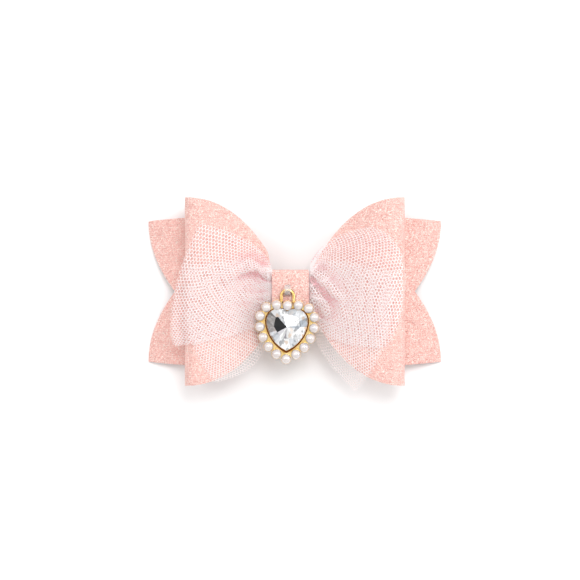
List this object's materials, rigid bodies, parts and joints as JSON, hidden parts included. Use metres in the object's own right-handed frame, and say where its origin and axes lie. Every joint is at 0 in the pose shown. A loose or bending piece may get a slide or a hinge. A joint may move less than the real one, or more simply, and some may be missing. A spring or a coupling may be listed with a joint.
{
  "type": "hair bow clip",
  "caption": "Glitter fabric hair bow with looped wings, a swallow-tailed back panel, gathered net layers, a pearl-edged heart charm and a spring clip on its back.",
  "frame": {"origin": "middle of the bow's bounding box, on the table that it lies on with its face up", "axes": "+X to the right along the bow's width, +Y towards the top of the face, +Z out of the face"},
  "size_m": [0.1, 0.0663, 0.02],
  "materials": {
    "glitter_fabric": "fine glitter, satin",
    "net": "open mesh",
    "thread": "smooth translucent thread",
    "glue": "set hot glue",
    "clip_steel": "nickel plated",
    "spring_steel": "drawn wire",
    "gold": "polished gold plate",
    "crystal": "faceted, mirror backed",
    "pearl": "pearl coated"
  },
  "bodies": {
    "bow": {"tail_panel": "glitter_fabric", "bow_loop": "glitter_fabric", "net_under": "net", "net_over": "net", "centre_band": "glitter_fabric", "gather_thread": "thread", "clip_glue": "glue", "loop_glue": "glue", "clip_lever": "clip_steel", "clip_pin": "clip_steel", "clip_spring": "spring_steel"},
    "jaw": {"clip_jaw": "clip_steel"},
    "thread": {"charm_thread": "thread"},
    "charm": {"charm_frame": "gold", "heart_crystal": "crystal", "pearl_01": "pearl", "pearl_02": "pearl", "pearl_03": "pearl", "pearl_04": "pearl", "pearl_05": "pearl", "pearl_06": "pearl", "pearl_07": "pearl", "pearl_08": "pearl", "pearl_09": "pearl", "pearl_10": "pearl", "pearl_11": "pearl", "pearl_12": "pearl", "pearl_13": "pearl", "pearl_14": "pearl", "pearl_15": "pearl", "pearl_16": "pearl"}
  },
  "joints": [
    {"name": "clip_open", "type": "hinge", "parent": "bow", "child": "jaw", "pos_m": [0.0095, 0.001, 0.00405], "axis": [0, -1, 0], "range_deg": [0, 20], "stiffness_Nm_per_rad": 0.05, "springref_deg": -45.84, "deforming": ["clip_spring"]},
    {"name": "charm_sway", "type": "hinge", "parent": "bow", "child": "thread", "pos_m": [-0.0025, 0.0015, 0.01415], "axis": [0, 0, 1], "range_deg": [-8, 8]},
    {"name": "charm_lift", "type": "hinge", "parent": "thread", "child": "charm", "pos_m": [-0.0025, 0.0015, 0.01415], "axis": [-1, 0, 0], "range_deg": [0, 140]}
  ]
}
